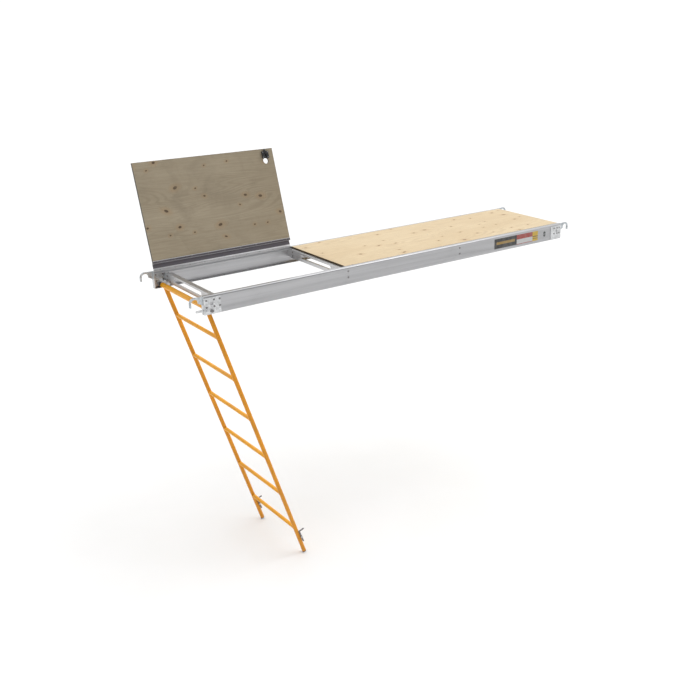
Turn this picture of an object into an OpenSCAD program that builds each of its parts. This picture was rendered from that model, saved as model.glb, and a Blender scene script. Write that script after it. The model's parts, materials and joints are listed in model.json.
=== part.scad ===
// Aluminium scaffold deck with a plywood surface, a hinged access hatch and a fold-away ladder.
// Origin: centre of the scaffold tube that carries the hatch-end hooks, at mid width.
// +X runs along the deck to the plain end, +Y to the hinged side, +Z up.

/* [Deck] */
// Distance between the centres of the two scaffold tubes
bay_l = 3048; // [2900:1:3700]
// Overall width across the end brackets
deck_w = 712; // [620:1:860]
// Height of the side rails
rail_h = 112; // [108:1:135]
// Height of the rail tops above the tube centres
rail_rise = 31; // [30:0.5:34]
// Thickness of the plywood
ply_t = 12.7; // [12:0.1:15]

/* [Side rails] */
// Thickness of the rail web
web_t = 4; // [3:0.5:5]
// Thickness of the rail flanges and ledge
flange_t = 3; // [2.5:0.5:4]
// Width of the top flange
flange_w = 28; // [24:1:34]
// Width of the ledge that carries the plywood
ledge_w = 14; // [12:1:20]
// Width of the bottom flange
foot_w = 30; // [24:1:34]
// Radius along the top outer corner
rail_round = 11; // [6:1:12]

/* [Crossmembers] */
// Height of a crossmember
beam_h = 60; // [50:1:62]
// Wall of a crossmember
beam_t = 3; // [2:0.5:4]
// Width of the end crossmembers
end_beam_w = 32; // [28:1:36]
// Width of the crossmember between hatch and fixed panel
header_w = 50; // [46:1:60]
// Width of the crossmember under the fixed panel
deck_beam_w = 40; // [36:1:50]
// Distance from the bracket face to the web of an end crossmember
end_beam_in = 70; // [66:1:76]
// Length of the hand slot in the hatch-side crossmembers
slot_l = 370; // [200:5:420]
// Height of the hand slot
slot_h = 24; // [16:1:28]
// Thickness of the connecting angles
cleat_t = 4; // [3:0.5:5]

/* [Hooks and end brackets] */
// Diameter of the scaffold tube
tube_d = 42.9; // [42.4:0.1:48.3]
// Radial play between hook and tube
hook_play = 0.35; // [0.2:0.05:0.6]
// Width of the hook band
hook_band = 11; // [9:0.5:12]
// Thickness of the hook plate
hook_t = 10; // [8:0.5:10]
// Distance from the tube centre to the bracket face
hook_reach = 51; // [50:0.5:56]
// How far the hook tip drops below the tube centre
tip_drop = 19; // [14:1:40]
// Length of an end bracket along the rail
bracket_l = 108; // [104:1:120]
// Thickness of an end bracket
bracket_t = 3; // [2:0.5:4]

/* [Hatch] */
// Length of the hatch opening up to the hatch-side crossmember
hatch_l = 988; // [820:1:1180]
// How far the open hatch turns from closed, in degrees
hatch_open = 107; // [95:1:110]
// Diameter of the finger hole
finger_d = 40; // [30:1:44]
// Side of the square latch case
latch_w = 47; // [42:1:50]
// Travel of the latch bolt
latch_travel = 11; // [8:0.5:12]

/* [Ladder] */
// Spacing of the rungs
rung_pitch = 304.8; // [250:0.1:320]
// Distance from the pivot to the first rung
first_rung = 212; // [180:1:240]
// Length of the stiles beyond the last rung
stile_tail = 209; // [180:1:240]
// Distance between the stile centres
stile_gap = 568; // [470:1:580]
// Outer diameter of a stile
stile_d = 27; // [24:0.5:28]
// Outer diameter of a rung
rung_d = 25; // [20:0.5:26]
// Outer diameter of the pivot tube
pivot_d = 33; // [30:0.5:34]
// Wall of the ladder tubes
tube_t = 2; // [1.5:0.1:3]
// Slope of the hanging ladder from the vertical, in degrees
hang_deg = 17; // [12:0.5:20]

/* [Hidden] */
$fn = 48;
rung_n = 6;
// Clearances: static fits, running fits, and faces that only come close
fit_gap = 0.05;
run_gap = 0.05;
near_gap = 0.4;

// Heights and lengths that follow
rail_top = rail_rise;
rail_bot = rail_top - rail_h;
ply_proud = 0.6;
deck_top = rail_top + ply_proud;
seat_z = deck_top - ply_t;
rail_half = deck_w / 2 - bracket_t;
end_x = [hook_reach, bay_l - hook_reach];
rail_x0 = end_x[0] + bracket_t;
rail_len = end_x[1] - bracket_t - rail_x0;
seat_r = tube_d / 2 + hook_play;
inner_half = rail_half - flange_w;
ledge_half = inner_half - ledge_w;
beam_half = ledge_half - 0.5;
hook_root_l = bracket_l + 4;
hook_low = -22;

// Hatch and fixed panel along X
hatch_x0 = end_x[0] + 9;
hatch_x1 = hatch_x0 + hatch_l;
panel_x0 = hatch_x1 + 3;
panel_x1 = end_x[1] - 7;
panel_half = inner_half - 1;

// Crossmember webs; each opens away from its web
hatch_beam_x = end_x[0] + end_beam_in;
header_x = panel_x0 - 21;
deck_beam_x = header_x + 936;
plain_beam_x = end_x[1] - 4;
beam_rivet_in = 25;
beam_bot = seat_z - beam_h;
slot_z = -6;
beam_screw_y = [-200, 0, 200];

// Rivets, heights above the rail foot
rivet_r = 4;
rivet_head_r = 6.5;
rivet_rows = [44, 85];
function bracket_cols(e) = e == 0 ? [18, 66] : [72];
function angle_cols(e) = e == 0 ? [102] : [18, 40];
ring_d = 20;

// Panel screws
screw_r = 2.4;
screw_head_r = 4.6;
screw_n = 6;
ledge_screw_y = inner_half - ledge_w / 2;

// Hatch hinge: a round bead that turns in an open socket on top of the rear rail
hinge_r = 4;
socket_r = 6.5;
neck_t = 2.5;
leaf_t = 2;
axis_y = rail_half - 9;
axis_z = rail_top + socket_r;
lip_t = 2.5;
channel_in = 37;
channel_t = 3;
upper_lip = 24;
lower_lip = 15;
hatch_half = inner_half - 2;
hatch_bot = seat_z + near_gap;
hatch_top = hatch_bot + ply_t;
hinge_rivet_n = 10;
hatch_rivet_n = 9;
open_deg = 180 - hatch_open;

// Hatch latch, in the closed hatch's place
latch_x = hatch_x1 - 62;
latch_front = -ledge_half + 5;
latch_d = 12;
bolt_w = 14;
bolt_h = 5;
bolt_z = hatch_bot - 7;
bolt_nose = -ledge_half - 9;
bolt_len = 33;
latch_wall = 3;
finger_x = latch_x;
finger_y = -hatch_half + 80;

// Ladder pivot
pivot_x = end_x[0] + 49;
pivot_z = rail_bot + 19;
pivot_tube_half = rail_half - 35;
bolt_r = 6;
bush_l = 30;
stop_y = stile_gap / 2 - 34;
ladder_l = first_rung + (rung_n - 1) * rung_pitch + stile_tail;

// Stow hooks near the foot of the ladder
stow_s = first_rung + (rung_n - 1) * rung_pitch + 84;
stow_out = 12;
stow_arm = 50;
stow_prong = 38;
stow_tail = 42;
stow_t = 5;
stow_pin_r = 4;
stow_bar = 9;
stow_lug_t = 4;
stow_beside = stile_d / 2 + 0.8;
stow_plane = stow_beside + 0.3 + stow_t / 2;

// Ledges on the crossmember that carry the stow hooks once the ladder is folded up
keeper_l = 22;
keeper_w = 16;
keeper_h = 20;
keeper_top = pivot_z + stow_out + stow_arm - stow_bar / 2 - 0.5;

// Wind locks: one finger at each end, on opposite sides
lock_corner = [[0, 0], [1, 1]];
lock_in = 17;
lock_z = rail_bot + 26;
lock_t = 8;
lock_h = 12;
lock_u = web_t + 1;
lock_reach = 64;
lock_pin_r = 4;

// Label plates on the front rail: start along X, length, foot, height
label_t = 0.6;
label_x0 = end_x[1] - 679;

CORNERS = [for (e = [0, 1]) for (s = [0, 1]) [e, s]];
END_NAMES = ["hatch_end", "plain_end"];
SIDE_NAMES = ["front", "rear"];
function corner_name(c) = str(END_NAMES[c[0]], "_", SIDE_NAMES[c[1]]);
function rivet_z(row) = rail_bot + rivet_rows[row];
function rung_s(i) = first_rung + i * rung_pitch;

// ---- Placing helpers ----

// Puts a piece made for the front hatch-end corner at another corner.
// In the corner, x is measured from the tube centre and y from the outer face of the rail.
module at_corner(c) {
    translate([c[0] * bay_l, 0, 0]) mirror([c[0], 0, 0]) mirror([0, c[1], 0])
        translate([0, -rail_half, 0]) children();
}

// Puts a piece made for the front side on the chosen side
module at_side(s) {
    mirror([0, s, 0]) translate([0, -rail_half, 0]) children();
}

// Turns a profile drawn in Y and Z into a bar along X
module bar_x(x0, len) {
    translate([x0, 0, 0]) rotate([90, 0, 90]) linear_extrude(len) children();
}

// Turns a profile drawn in X and Z into a plate across Y
module plate_y(y0, t) {
    translate([0, y0 + t, 0]) rotate([90, 0, 0]) linear_extrude(t) children();
}

// A rod along +Y
module rod_y(r, y0, len) {
    translate([0, y0, 0]) rotate([-90, 0, 0]) cylinder(r = r, h = len);
}

// The closed hatch turned open about its hinge
module hatch_place() {
    translate([0, axis_y, axis_z]) rotate([-hatch_open, 0, 0]) translate([0, -axis_y, -axis_z])
        children();
}

// The ladder's own frame: pivot at the origin, stiles along -Z, climbing side +X
module ladder_place() {
    translate([pivot_x, 0, pivot_z]) rotate([0, -hang_deg, 0]) children();
}

// A rivet through a stack along +Y, with a domed head outside and a set tail inside
module rivet(grip) {
    rod_y(rivet_r, -0.5, grip + 1);
    translate([0, -0.02, 0]) rotate([90, 0, 0]) {
        cylinder(r = rivet_head_r, h = 1);
        translate([0, 0, 1]) cylinder(r1 = rivet_head_r, r2 = rivet_head_r * 0.55, h = 1.6);
    }
    rod_y(rivet_r * 1.4, grip + 0.02, 2);
}

// ---- Side rails ----

module rail_profile() {
    t = rail_top;
    b = rail_bot;
    r = rail_round;
    step_in = flange_w - flange_t;
    translate([r, t - r]) intersection() {
        difference() {
            circle(r = r);
            circle(r = r - flange_t);
        }
        translate([-r, 0]) square(r);
    }
    translate([0, b]) square([web_t, t - r - b]);
    translate([0, b]) square([foot_w, flange_t]);
    polygon([
        [r, t], [flange_w, t], [flange_w, seat_z], [flange_w + ledge_w, seat_z],
        [flange_w + ledge_w, seat_z - flange_t], [step_in, seat_z - flange_t],
        [step_in, t - flange_t], [r, t - flange_t]
    ]);
}

// Holes through a rail's web, drawn from its outer face inward
module rail_holes(s) {
    r = rivet_r + fit_gap;
    for (x = [header_x, deck_beam_x], row = [0, 1])
        translate([x + beam_rivet_in, 0, rivet_z(row)]) rod_y(r, -1, web_t + 2);
    for (e = [0, 1]) translate([e * bay_l, 0, 0]) mirror([e, 0, 0]) {
        for (x = concat(bracket_cols(e), angle_cols(e)), row = [0, 1])
            translate([hook_reach + x, 0, rivet_z(row)]) rod_y(r, -1, web_t + 2);
        if (e == 0) translate([pivot_x, 0, pivot_z]) rod_y(bolt_r + fit_gap, -1, web_t + 2);
        if (e == s) {
            translate([hook_reach + lock_in, 0, lock_z]) rod_y(lock_pin_r + fit_gap, -1, web_t + 2);
            translate([hook_reach, lock_u - 1, rail_bot - 1]) cube([44, lock_t + 2, flange_t + 2]);
        }
    }
}

module ledge_screw_spots() {
    for (i = [0:screw_n - 1])
        translate([panel_x0 + 60 + i * (panel_x1 - panel_x0 - 110) / (screw_n - 1), 0, 0])
            children();
}

module rail(s) {
    color([0.72, 0.73, 0.74]) difference() {
        at_side(s) bar_x(rail_x0, rail_len) rail_profile();
        at_side(s) rail_holes(s);
        at_side(s) ledge_screw_spots() translate([0, rail_half - ledge_screw_y, seat_z - 10])
            cylinder(r = screw_r + fit_gap, h = 20);
    }
}
module front_rail() { rail(0); }
module rear_rail() { rail(1); }

// ---- Crossmembers ----

// A channel hung below the plywood; dir 1 opens towards +X, -1 towards -X
module channel(x, w, dir, screw_in) {
    translate([x, 0, 0]) mirror([dir < 0 ? 1 : 0, 0, 0]) difference() {
        translate([0, -beam_half, beam_bot]) cube([w, 2 * beam_half, beam_h]);
        translate([beam_t, -beam_half - 1, beam_bot + beam_t])
            cube([w, 2 * beam_half + 2, beam_h - 2 * beam_t]);
        for (y = screw_in > 0 ? beam_screw_y : []) translate([screw_in, y, seat_z - 10])
            cylinder(r = screw_r + fit_gap, h = 20);
        for (y = [-1, 1], z = [0, 1]) angle_rivet_spot(y, z)
            rotate([0, -90, 0]) cylinder(r = rivet_r + fit_gap, h = 60, center = true);
    }
}

// Where an angle is riveted to a crossmember's web, on side y and row z
module angle_rivet_spot(y, z) {
    translate([0, y * (beam_half - 26), beam_bot + 16 + z * (beam_h - 34)]) children();
}

module hand_slot(x) {
    translate([x - 10, 0, slot_z]) rotate([0, 90, 0]) linear_extrude(30)
        for (y = [-1, 1]) translate([0, y * (slot_l - slot_h) / 2]) circle(d = slot_h);
    translate([x - 10, -(slot_l - slot_h) / 2, slot_z - slot_h / 2])
        cube([30, slot_l - slot_h, slot_h]);
}

// Room in a hatch-side top flange for the lower lip of the hatch's hinge profile
module lip_notch(x, len) {
    translate([x - 1, axis_y - channel_in - lower_lip - 3, seat_z - beam_t - 1])
        cube([len + 1, channel_in + lower_lip, beam_t + 2]);
}

module hatch_end_beam() {
    color([0.74, 0.75, 0.75]) difference() {
        channel(hatch_beam_x, end_beam_w, 1, 0);
        hand_slot(hatch_beam_x);
        lip_notch(hatch_beam_x, end_beam_w + 1);
    }
}

module header_beam() {
    color([0.74, 0.75, 0.75]) difference() {
        channel(header_x, header_w, 1, 36);
        hand_slot(header_x);
        lip_notch(header_x, hatch_x1 - header_x + 0.5);
    }
}

module deck_beam() {
    color([0.74, 0.75, 0.75]) channel(deck_beam_x, deck_beam_w, 1, 20);
}

// Welded ledges that the stow hooks drop over
module stow_keepers() {
    color([0.76, 0.77, 0.77]) for (y = [-1, 1])
        plate_y(y * stile_gap / 2 - stow_plane - keeper_w / 2, keeper_w) polygon([
            [deck_beam_x, keeper_top], [deck_beam_x - keeper_l, keeper_top],
            [deck_beam_x - keeper_l, keeper_top - beam_t], [deck_beam_x - 8, keeper_top - beam_t],
            [deck_beam_x - beam_t, keeper_top - 8], [deck_beam_x - beam_t, keeper_top - keeper_h],
            [deck_beam_x, keeper_top - keeper_h]
        ]);
}

module plain_end_beam() {
    color([0.74, 0.75, 0.75]) channel(plain_beam_x, end_beam_w, -1, 18);
}

// An angle that joins a channel's web to a rail; u is how far inside the rail's face it seats,
// and cols holds where its rail rivets are along X
module angle(x, dir, s, u, cols) {
    z0 = beam_bot + beam_t + 0.5;
    h = beam_h - 2 * beam_t - 1;
    hole = rivet_r + fit_gap;
    reach = rail_half - beam_half + 44;
    difference() {
        at_side(s) translate([x, 0, z0]) mirror([dir < 0 ? 1 : 0, 0, 0]) {
            translate([beam_t, u, 0]) cube([45, cleat_t, h]);
            translate([beam_t, u, 0]) cube([cleat_t, reach - u, h]);
        }
        at_side(s) for (c = cols, row = [0, 1])
            translate([c, 0, rivet_z(row)]) rod_y(hole, u - 1, cleat_t + 2);
        for (z = [0, 1]) translate([x, 0, 0]) angle_rivet_spot(s == 0 ? -1 : 1, z)
            rotate([0, -90, 0]) cylinder(r = hole, h = 60, center = true);
    }
}

module end_beam_angles() {
    u = web_t + hook_t;
    color([0.78, 0.79, 0.79]) for (s = [0, 1]) {
        angle(hatch_beam_x, 1, s, u, [for (x = angle_cols(0)) end_x[0] + x]);
        angle(plain_beam_x, -1, s, u, [for (x = angle_cols(1)) end_x[1] - x]);
    }
}

module middle_beam_angles() {
    color([0.78, 0.79, 0.79]) for (s = [0, 1], x = [header_x, deck_beam_x])
        angle(x, 1, s, web_t, [x + beam_rivet_in]);
}

// Rivets along X that join an angle to a channel's web
module web_rivets(x, dir) {
    grip = beam_t + cleat_t;
    translate([x, 0, 0]) mirror([dir < 0 ? 1 : 0, 0, 0])
        for (y = [-1, 1], z = [0, 1]) angle_rivet_spot(y, z) rotate([0, 0, -90]) rivet(grip);
}

module beam_rivets() {
    color([0.5, 0.51, 0.52]) {
        for (x = [hatch_beam_x, header_x, deck_beam_x]) web_rivets(x, 1);
        web_rivets(plain_beam_x, -1);
        for (s = [0, 1], x = [header_x, deck_beam_x], row = [0, 1]) at_side(s)
            translate([x + beam_rivet_in, 0, rivet_z(row)]) rivet(web_t + cleat_t);
    }
}

// ---- End brackets and hooks ----

module bracket(c) {
    has_lock = c[0] == c[1];
    shoulder = rail_top - rail_round - 0.5;
    slot = fit_gap * 4;
    color([0.76, 0.78, 0.80]) at_corner(c) difference() {
        union() {
            translate([hook_reach, -bracket_t, rail_bot])
                cube([bracket_l, bracket_t, shoulder - rail_bot]);
            bar_x(hook_reach, bracket_t) {
                polygon([
                    [-bracket_t, rail_bot], [-bracket_t, shoulder], [rail_round, shoulder],
                    [rail_round, rail_top], [flange_w, rail_top], [flange_w, rail_bot]
                ]);
                translate([rail_round, rail_top - rail_round]) circle(r = rail_round);
            }
        }
        translate([hook_reach - 1, web_t - slot, hook_low - slot])
            cube([bracket_t + 2, hook_t + 2 * slot, rail_top - hook_low + 1]);
        for (x = concat(bracket_cols(c[0]), angle_cols(c[0])), row = [0, 1])
            translate([hook_reach + x, 0, rivet_z(row)])
                rod_y(rivet_r + fit_gap, -bracket_t - 1, bracket_t + 2);
        translate([hook_reach + 47, 0, rail_bot + 64]) rod_y(ring_d / 2, -bracket_t - 1, bracket_t + 1);
        if (c[0] == 0) translate([pivot_x, 0, pivot_z])
            rod_y(bolt_r + fit_gap, -bracket_t - 1, bracket_t + 2);
        if (has_lock) {
            translate([hook_reach + lock_in, 0, lock_z])
                rod_y(lock_pin_r + fit_gap, -bracket_t - 1, bracket_t + 2);
            translate([hook_reach - 1, lock_u - 0.5, rail_bot - 1])
                cube([bracket_t + 2, lock_t + 1, lock_z + lock_h / 2 + near_gap - rail_bot + 1]);
        }
    }
}

module hook_profile() {
    r_out = seat_r + hook_band;
    throat = [seat_r * cos(15), -seat_r * sin(15)];
    root = [hook_reach, hook_low];
    difference() {
        union() {
            circle(r = r_out);
            polygon([[0, rail_top], [hook_reach, rail_top], root, throat, [0, 0]]);
        }
        circle(r = seat_r);
        polygon([[-seat_r, 0], throat, root, [hook_reach, -80], [-seat_r, -80]]);
    }
    translate([-r_out, -tip_drop]) square([hook_band, tip_drop]);
    translate([-r_out + hook_band / 2, -tip_drop]) circle(d = hook_band);
    translate([hook_reach, hook_low])
        square([bracket_t + 1, rail_top - rail_round - 2 - hook_low]);
    translate([hook_reach + bracket_t + 0.2, rail_bot + 36])
        square([hook_root_l - bracket_t - 0.2, rail_top - rail_round - 2.5 - rail_bot - 36]);
}

module hook(c) {
    hole = rivet_r + fit_gap;
    color([0.70, 0.73, 0.76]) at_corner(c) difference() {
        plate_y(web_t, hook_t) hook_profile();
        for (x = concat(bracket_cols(c[0]), angle_cols(c[0])), row = [0, 1])
            translate([hook_reach + x, 0, rivet_z(row)]) rod_y(hole, web_t - 1, hook_t + 2);
    }
}

module bracket_rivets() {
    color([0.42, 0.44, 0.46]) for (c = CORNERS) at_corner(c) {
        for (x = bracket_cols(c[0]), row = [0, 1])
            translate([hook_reach + x, -bracket_t, rivet_z(row)]) rivet(bracket_t + web_t + hook_t);
        for (x = angle_cols(c[0]), row = [0, 1])
            translate([hook_reach + x, -bracket_t, rivet_z(row)])
                rivet(bracket_t + web_t + hook_t + cleat_t);
    }
}

// ---- Fixed deck panel ----

module screw_spots() {
    for (s = [0, 1]) mirror([0, s, 0]) ledge_screw_spots() translate([0, -ledge_screw_y, 0])
        children();
    for (x = [header_x + 36, deck_beam_x + 20, plain_beam_x - 18], y = beam_screw_y)
        translate([x, y, 0]) children();
}

module deck_panel() {
    color([0.90, 0.81, 0.64]) difference() {
        translate([panel_x0, -panel_half, seat_z])
            cube([panel_x1 - panel_x0, 2 * panel_half, ply_t]);
        screw_spots() {
            translate([0, 0, seat_z - 1]) cylinder(r = screw_r + fit_gap, h = ply_t + 2);
            translate([0, 0, deck_top - 3]) cylinder(r1 = screw_r, r2 = screw_head_r + 0.4, h = 3.05);
        }
    }
}

module deck_screws() {
    color([0.55, 0.55, 0.53]) screw_spots() {
        translate([0, 0, seat_z - 9]) cylinder(r = screw_r, h = ply_t + 7);
        translate([0, 0, deck_top - 2.8]) cylinder(r1 = screw_r, r2 = screw_head_r, h = 2.6);
    }
}

// ---- Hatch ----

// Rail side of the hinge: an open socket on a riveted leaf
module hinge_socket() {
    half = neck_t / 2 + 0.3;
    color([0.62, 0.63, 0.64]) difference() {
        translate([0, axis_y, axis_z]) bar_x(hatch_x0, hatch_l) difference() {
            union() {
                circle(r = socket_r);
                translate([-18, -socket_r]) square([18, leaf_t]);
                translate([-6, -socket_r]) square([10, 3]);
            }
            circle(r = hinge_r + run_gap);
            polygon([
                [0, 0], [20 * cos(open_deg), 20 * sin(open_deg)], [0, 20], [-20, 20], [-20, 0]
            ]);
            translate([-20, -half]) square([20, 2 * half]);
            rotate(open_deg) translate([0, -half]) square([20, 2 * half]);
        }
        hinge_rivet_spots() translate([0, 0, rail_top - 1]) cylinder(r = 2.5 + fit_gap, h = 4);
    }
}

module hinge_rivet_spots() {
    for (i = [0:hinge_rivet_n - 1])
        translate([hatch_x0 + 40 + i * (hatch_l - 80) / (hinge_rivet_n - 1), axis_y - 13, 0])
            children();
}

module hinge_rivets() {
    color([0.5, 0.5, 0.5]) hinge_rivet_spots() {
        translate([0, 0, rail_top + 0.02]) cylinder(r = 2.5, h = leaf_t);
        translate([0, 0, rail_top + leaf_t + 0.02]) cylinder(r1 = 4.5, r2 = 3, h = 1.4);
    }
}

// Hatch side of the hinge: bead, neck and a channel that holds the plywood's edge
module hatch_hinge_profile() {
    top = hatch_top - axis_z;
    bot = hatch_bot - axis_z;
    color([0.33, 0.34, 0.35]) hatch_place() difference() {
        translate([0, axis_y, axis_z]) bar_x(hatch_x0, hatch_l) {
            circle(r = hinge_r);
            translate([-channel_in, -neck_t / 2]) square([channel_in, neck_t]);
            translate([-channel_in + 0.02, bot - lip_t])
                square([channel_t, neck_t / 2 - bot + lip_t]);
            translate([-channel_in - upper_lip, top + 0.02]) square([upper_lip + 1, lip_t]);
            translate([-channel_in - lower_lip, bot - lip_t - 0.02]) square([lower_lip + 1, lip_t]);
        }
        hatch_rivet_spots() translate([0, 0, hatch_bot - 10]) cylinder(r = 2.5 + fit_gap, h = 40);
    }
}

module hatch_rivet_spots() {
    for (i = [0:hatch_rivet_n - 1])
        translate([
            hatch_x0 + 30 + i * (hatch_l - 60) / (hatch_rivet_n - 1),
            axis_y - channel_in - lower_lip / 2, 0
        ]) children();
}

module hatch_rivets() {
    color([0.6, 0.6, 0.6]) hatch_place() hatch_rivet_spots() {
        translate([0, 0, hatch_bot - lip_t - 0.5]) cylinder(r = 2.5, h = ply_t + 2 * lip_t + 1);
        translate([0, 0, hatch_top + lip_t + 0.04]) cylinder(r1 = 4.5, r2 = 3, h = 1.4);
        translate([0, 0, hatch_bot - lip_t - 1.44]) cylinder(r1 = 3, r2 = 4.5, h = 1.4);
    }
}

module latch_screw_spots() {
    for (x = [-1, 1], y = [-1, 1])
        translate([latch_x + x * (latch_w / 2 - 6), latch_front + latch_w / 2 + y * (latch_w / 2 - 6), 0])
            children();
}

module hatch_panel() {
    color([0.66, 0.60, 0.50]) hatch_place() difference() {
        translate([hatch_x0, -hatch_half, hatch_bot])
            cube([hatch_l, hatch_half + axis_y - channel_in, ply_t]);
        translate([finger_x, finger_y, hatch_bot - 1]) cylinder(d = finger_d, h = ply_t + 2);
        hatch_rivet_spots() translate([0, 0, hatch_bot - 1]) cylinder(r = 2.5 + fit_gap, h = ply_t + 2);
        latch_screw_spots() translate([0, 0, hatch_bot - 1]) cylinder(r = 2 + fit_gap, h = 10);
    }
}

// Case under the hatch with a square way for the sprung bolt
module latch_case() {
    c = fit_gap * 4;
    color([0.06, 0.06, 0.06]) hatch_place() difference() {
        translate([latch_x - latch_w / 2, latch_front, hatch_bot - latch_d])
            cube([latch_w, latch_w, latch_d - 0.02]);
        translate([latch_x - bolt_w / 2 - c, latch_front - 1, bolt_z - bolt_h / 2 - c])
            cube([bolt_w + 2 * c, latch_w + 1 - latch_wall, bolt_h + 2 * c]);
        translate([latch_x - 5 - c, latch_front + 12, hatch_bot - latch_d - 1])
            cube([10 + 2 * c, latch_travel + 17, latch_d]);
        latch_screw_spots() translate([0, 0, hatch_bot - latch_d - 1]) {
            cylinder(r = 2 + fit_gap, h = latch_d + 2);
            cylinder(r = 4, h = 5);
        }
    }
}

module latch_screws() {
    color([0.25, 0.25, 0.26]) hatch_place() latch_screw_spots() {
        translate([0, 0, hatch_bot - latch_d + 4.1]) cylinder(r = 2, h = latch_d + 3);
        translate([0, 0, hatch_bot - latch_d + 1.2]) cylinder(r = 3.6, h = 2.8);
    }
}

// Bolt with a slanted nose that runs under the front rail's ledge, and a finger tab below
module latch_bolt() {
    color([0.12, 0.12, 0.12]) hatch_place() {
        translate([latch_x - bolt_w / 2, 0, 0]) bar_x(0, bolt_w) polygon([
            [bolt_nose, bolt_z + bolt_h / 2], [bolt_nose + bolt_len, bolt_z + bolt_h / 2],
            [bolt_nose + bolt_len, bolt_z - bolt_h / 2], [bolt_nose + 7, bolt_z - bolt_h / 2]
        ]);
        translate([latch_x - 5, bolt_nose + bolt_len - 7, hatch_bot - latch_d - 5])
            cube([10, 7, bolt_z + 5 + latch_d - hatch_bot]);
    }
}

// Spring behind the bolt: open turns joined by short links, pressing on the case's end wall
module latch_spring() {
    $fn = 12;
    wire = 1;
    turns = 5;
    coil_r = 1.8;
    y0 = bolt_nose + bolt_len + 0.1;
    y1 = latch_front + latch_w - latch_wall - 0.1;
    pitch = (y1 - y0 - wire) / (turns - 1);
    color([0.55, 0.56, 0.57]) hatch_place() translate([latch_x, y0 + wire / 2, bolt_z])
        rotate([-90, 0, 0]) {
            for (i = [0:turns - 1]) translate([0, 0, i * pitch])
                rotate_extrude() translate([coil_r, 0]) circle(d = wire);
            for (i = [0:turns - 2]) rotate(i * 180) translate([coil_r, 0, i * pitch])
                cylinder(d = wire, h = pitch);
        }
}

// ---- Ladder ----

module tube_y(r, t, y0, len) {
    difference() {
        rod_y(r, y0, len);
        rod_y(r - t, y0 - 1, len + 2);
    }
}

module ladder_pivot_tube() {
    color([0.96, 0.65, 0.13]) ladder_place()
        tube_y(pivot_d / 2, tube_t, -pivot_tube_half, 2 * pivot_tube_half);
}

module stile(s) {
    color([0.85, 0.54, 0.08]) ladder_place() difference() {
        translate([0, (s * 2 - 1) * stile_gap / 2, -ladder_l]) cylinder(d = stile_d, h = ladder_l);
        translate([0, (s * 2 - 1) * stile_gap / 2, -ladder_l - 1])
            cylinder(d = stile_d - 2 * tube_t, h = ladder_l + 2);
        rod_y(pivot_d / 2, -deck_w, 2 * deck_w);
    }
}
module ladder_stile_front() { stile(0); }
module ladder_stile_rear() { stile(1); }

module rung(i) {
    color([0.98, 0.70, 0.20]) ladder_place() difference() {
        translate([0, 0, -rung_s(i - 1)]) tube_y(rung_d / 2, tube_t, -stile_gap / 2, stile_gap);
        for (y = [-1, 1]) translate([0, y * stile_gap / 2, -rung_s(i - 1) - 50])
            cylinder(d = stile_d, h = 100);
    }
}

// End plugs pressed into the feet of the stiles
module stile_plugs() {
    color([0.10, 0.10, 0.11]) ladder_place() for (y = [-1, 1])
        translate([0, y * stile_gap / 2, -ladder_l - 3]) {
            cylinder(d = stile_d, h = 3);
            cylinder(d = stile_d - 2 * tube_t - 2 * fit_gap, h = 25);
        }
}

// Tabs on the pivot tube that meet the end crossmember and hold the ladder at its slope
module ladder_stops() {
    face = hatch_beam_x - pivot_x - 0.3;
    color([0.74, 0.75, 0.75]) for (y = [-1, 1]) translate([pivot_x, 0, pivot_z]) difference() {
        plate_y(y * stop_y - 3, 6)
            polygon([[-9, 10], [12, 8], [face, beam_bot - pivot_z - 4], [face, 37], [face - 12, 37]]);
        rod_y(pivot_d / 2, y * stop_y - 10, 20);
    }
}

module pivot_bushes() {
    color([0.88, 0.88, 0.84]) ladder_place() for (s = [0, 1]) mirror([0, s, 0]) difference() {
        rod_y(pivot_d / 2 - tube_t - fit_gap, -pivot_tube_half, bush_l);
        rod_y(bolt_r + run_gap, -pivot_tube_half - 1, bush_l + 2);
    }
}

module pivot_bolts() {
    color([0.45, 0.47, 0.49]) for (s = [0, 1]) at_side(s) translate([pivot_x, 0, pivot_z]) {
        rod_y(bolt_r, -bracket_t - 0.5, rail_half - pivot_tube_half + bush_l + bracket_t - 2);
        translate([0, -bracket_t - 0.02, 0]) rotate([90, 0, 0]) cylinder(r = 10.4, h = 7, $fn = 6);
    }
}

module pivot_nuts() {
    color([0.5, 0.52, 0.54]) for (s = [0, 1]) at_side(s) translate([pivot_x, 0, pivot_z])
        difference() {
            union() {
                translate([0, web_t + 12, 0]) rotate([90, 0, 0]) cylinder(r = 10.4, h = 9.5, $fn = 6);
                rod_y(11, web_t + 0.02, 2.5);
            }
            rod_y(bolt_r + fit_gap, web_t - 1, 16);
        }
}

module pivot_spacers() {
    u0 = web_t + 12.1;
    color([0.66, 0.67, 0.68]) for (s = [0, 1]) at_side(s) translate([pivot_x, 0, pivot_z])
        tube_y(9, 9 - bolt_r - fit_gap, u0, rail_half - pivot_tube_half - u0 - near_gap);
}

// Lugs welded to the front of each stile's side; a stow hook turns beside each
module stow_lugs() {
    color([0.90, 0.58, 0.10]) ladder_place() for (y = [-1, 1])
        translate([0, y * stile_gap / 2, -stow_s]) difference() {
            plate_y(-stow_beside, stow_lug_t) {
                translate([stow_out, 0]) circle(d = 18);
                translate([2, -14]) square([stow_out - 2, 28]);
            }
            translate([stow_out, 0, 0]) rod_y(stow_pin_r + fit_gap, -20, 40);
            translate([0, 0, -30]) cylinder(d = stile_d, h = 60);
        }
}

module stow_pins() {
    outer = stow_plane + stow_t / 2 + 0.1;
    color([0.16, 0.17, 0.18]) ladder_place() for (y = [-1, 1])
        translate([stow_out, y * stile_gap / 2, -stow_s]) {
            rod_y(stow_pin_r, -outer - 1, outer + 1 - stile_d / 2 + 2.3);
            rod_y(7, -outer - 3, 3);
        }
}

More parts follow.
